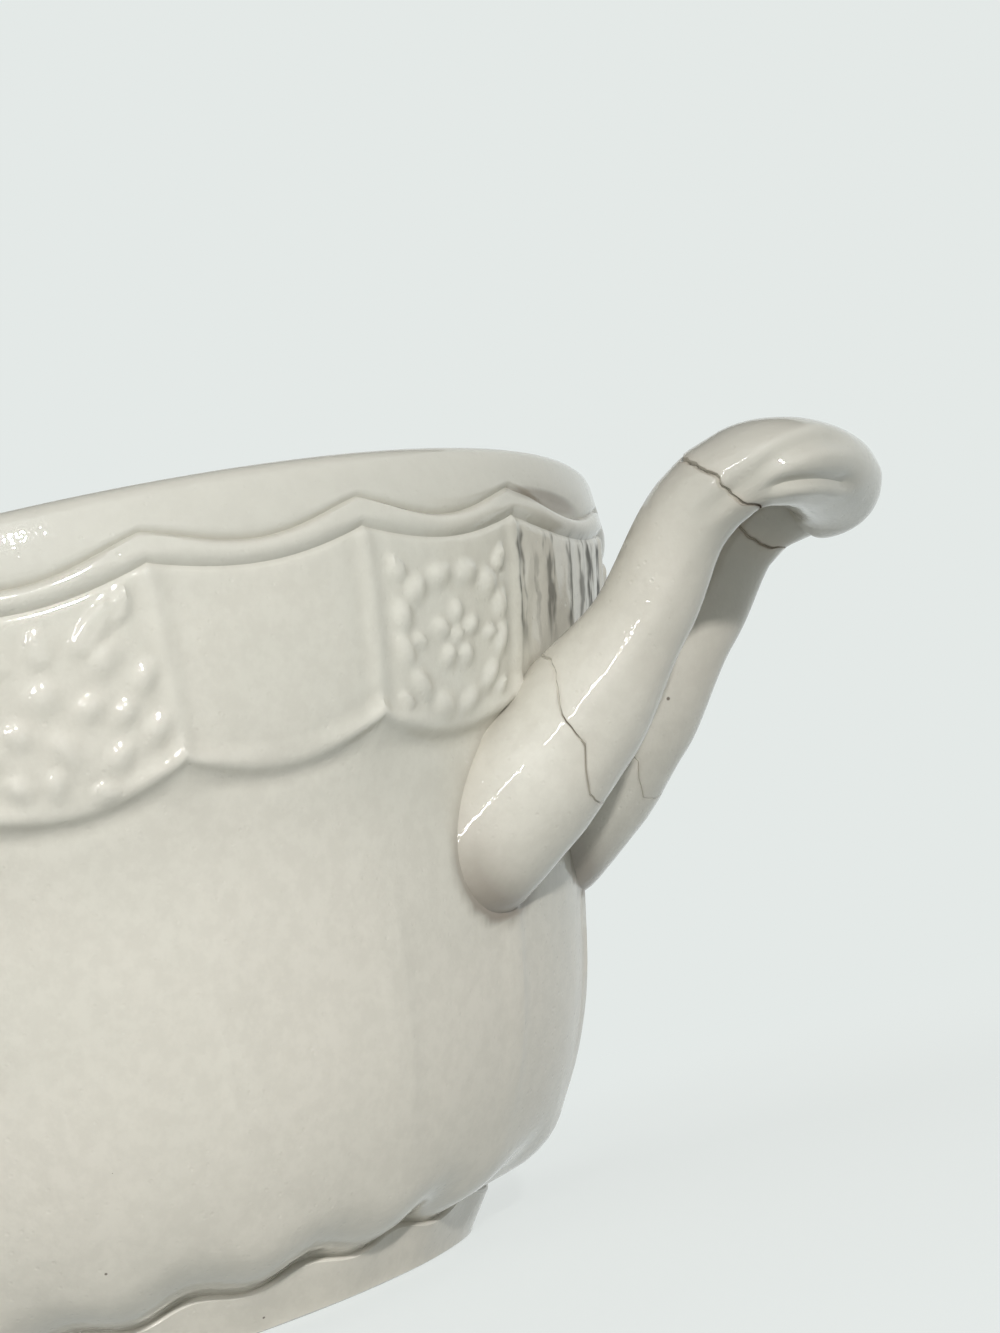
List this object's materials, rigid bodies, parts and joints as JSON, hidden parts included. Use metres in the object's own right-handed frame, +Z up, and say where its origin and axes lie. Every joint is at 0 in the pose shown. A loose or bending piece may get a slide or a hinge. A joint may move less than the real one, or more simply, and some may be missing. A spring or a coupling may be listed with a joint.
{
  "type": "cracked ceramic serving bowl",
  "caption": "Round glazed serving bowl with a wavy panelled relief band, foot ring and two loop handles, one handle's arms crossed by cracks.",
  "frame": {"origin": "centre of the foot ring's underside, on the bowl's axis", "axes": "+Z up along the bowl's axis, X along the line through both handles, with the cracked handle at +X"},
  "size_m": [0.3164, 0.22, 0.1195],
  "materials": {
    "glaze": "gloss"
  },
  "bodies": {
    "root": {"bowl": "glaze"}
  },
  "joints": []
}
